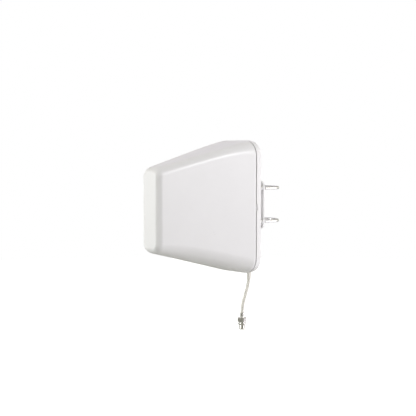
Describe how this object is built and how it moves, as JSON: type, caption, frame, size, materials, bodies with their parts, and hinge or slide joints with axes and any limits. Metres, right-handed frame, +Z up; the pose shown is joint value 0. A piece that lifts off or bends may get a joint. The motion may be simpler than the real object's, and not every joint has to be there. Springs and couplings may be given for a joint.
{
  "type": "enclosed log-periodic antenna",
  "caption": "Tapered white radome over a log-periodic dipole array, with a rear lid, a mast bracket with clamping U-bolts and a short coaxial pigtail.",
  "frame": {"origin": "on the mast's axis, midway between the two U-bolts, at the centre of their bends", "axes": "+Z up along the mast, -Y the way the antenna looks, +X across the antenna so that a viewer in front of it has +X on the right"},
  "size_m": [0.095, 0.2646, 0.3068],
  "materials": {
    "radome_white": "satin white moulded plastic, faintly warm",
    "seal_rubber": "matt grey",
    "relief_rubber": "matt pale grey",
    "bracket_paint": "satin white powder coat",
    "zinc_steel": "bright zinc plate",
    "aluminium": "bare, satin",
    "clear_nylon": "natural nylon",
    "cable_jacket": "satin off-white jacket",
    "coax_jacket": "brown, smooth",
    "nickel": "bright nickel plate",
    "brass": "bright"
  },
  "bodies": {
    "antenna": {"radome_shell": "radome_white", "rear_lid": "radome_white", "lid_gasket": "seal_rubber", "lid_screw_1": "zinc_steel", "lid_screw_2": "zinc_steel", "lid_screw_3": "zinc_steel", "lid_screw_4": "zinc_steel", "lid_screw_5": "zinc_steel", "lid_screw_6": "zinc_steel", "mount_screw": "zinc_steel", "mast_plate": "bracket_paint", "bracket_standoff": "aluminium", "bracket_screw_1": "zinc_steel", "bracket_screw_2": "zinc_steel", "bracket_screw_3": "zinc_steel", "bracket_screw_4": "zinc_steel", "upper_right_flat_washer": "zinc_steel", "upper_right_spring_washer": "zinc_steel", "upper_left_flat_washer": "zinc_steel", "upper_left_spring_washer": "zinc_steel", "lower_right_flat_washer": "zinc_steel", "lower_right_spring_washer": "zinc_steel", "lower_left_flat_washer": "zinc_steel", "lower_left_spring_washer": "zinc_steel", "strain_relief": "relief_rubber", "pigtail_cable": "cable_jacket", "connector_ferrule": "nickel", "connector_body": "nickel", "connector_collar": "nickel", "connector_insulator": "clear_nylon", "connector_contact": "brass", "boom_right": "aluminium", "boom_left": "aluminium", "half_dipole_right_1": "aluminium", "half_dipole_right_2": "aluminium", "half_dipole_right_3": "aluminium", "half_dipole_right_4": "aluminium", "half_dipole_right_5": "aluminium", "half_dipole_right_6": "aluminium", "half_dipole_right_7": "aluminium", "half_dipole_right_8": "aluminium", "half_dipole_left_1": "aluminium", "half_dipole_left_2": "aluminium", "half_dipole_left_3": "aluminium", "half_dipole_left_4": "aluminium", "half_dipole_left_5": "aluminium", "half_dipole_left_6": "aluminium", "half_dipole_left_7": "aluminium", "half_dipole_left_8": "aluminium", "boom_mount": "aluminium", "feed_coax": "coax_jacket", "front_insulator": "clear_nylon", "feed_strap": "brass", "boom_spacer": "clear_nylon"},
    "upper_clamp": {"upper_ubolt": "zinc_steel"},
    "upper_right_nut_body": {"upper_right_nut": "zinc_steel"},
    "upper_left_nut_body": {"upper_left_nut": "zinc_steel"},
    "lower_clamp": {"lower_ubolt": "zinc_steel"},
    "lower_right_nut_body": {"lower_right_nut": "zinc_steel"},
    "lower_left_nut_body": {"lower_left_nut": "zinc_steel"}
  },
  "joints": [
    {"name": "upper_ubolt_travel", "type": "slide", "parent": "antenna", "child": "upper_clamp", "axis": [0, -1, 0], "range_m": [-0.003, 0.006]},
    {"name": "upper_right_nut_spin", "type": "hinge", "parent": "antenna", "child": "upper_right_nut_body", "pos_m": [0.02775, -0.032, 0.027], "axis": [0, 1, 0], "range_deg": [-1351, 2701]},
    {"name": "upper_left_nut_spin", "type": "hinge", "parent": "antenna", "child": "upper_left_nut_body", "pos_m": [-0.02775, -0.032, 0.027], "axis": [0, 1, 0], "range_deg": [-1351, 2701]},
    {"name": "lower_ubolt_travel", "type": "slide", "parent": "antenna", "child": "lower_clamp", "axis": [0, -1, 0], "range_m": [-0.003, 0.006]},
    {"name": "lower_right_nut_spin", "type": "hinge", "parent": "antenna", "child": "lower_right_nut_body", "pos_m": [0.02775, -0.032, -0.027], "axis": [0, 1, 0], "range_deg": [-1351, 2701]},
    {"name": "lower_left_nut_spin", "type": "hinge", "parent": "antenna", "child": "lower_left_nut_body", "pos_m": [-0.02775, -0.032, -0.027], "axis": [0, 1, 0], "range_deg": [-1351, 2701]}
  ],
  "couplings": [
    {"joint": "upper_right_nut_spin", "follows": "upper_ubolt_travel", "rad_per_m": 7854},
    {"joint": "upper_left_nut_spin", "follows": "upper_ubolt_travel", "rad_per_m": 7854},
    {"joint": "lower_right_nut_spin", "follows": "lower_ubolt_travel", "rad_per_m": 7854},
    {"joint": "lower_left_nut_spin", "follows": "lower_ubolt_travel", "rad_per_m": 7854}
  ]
}
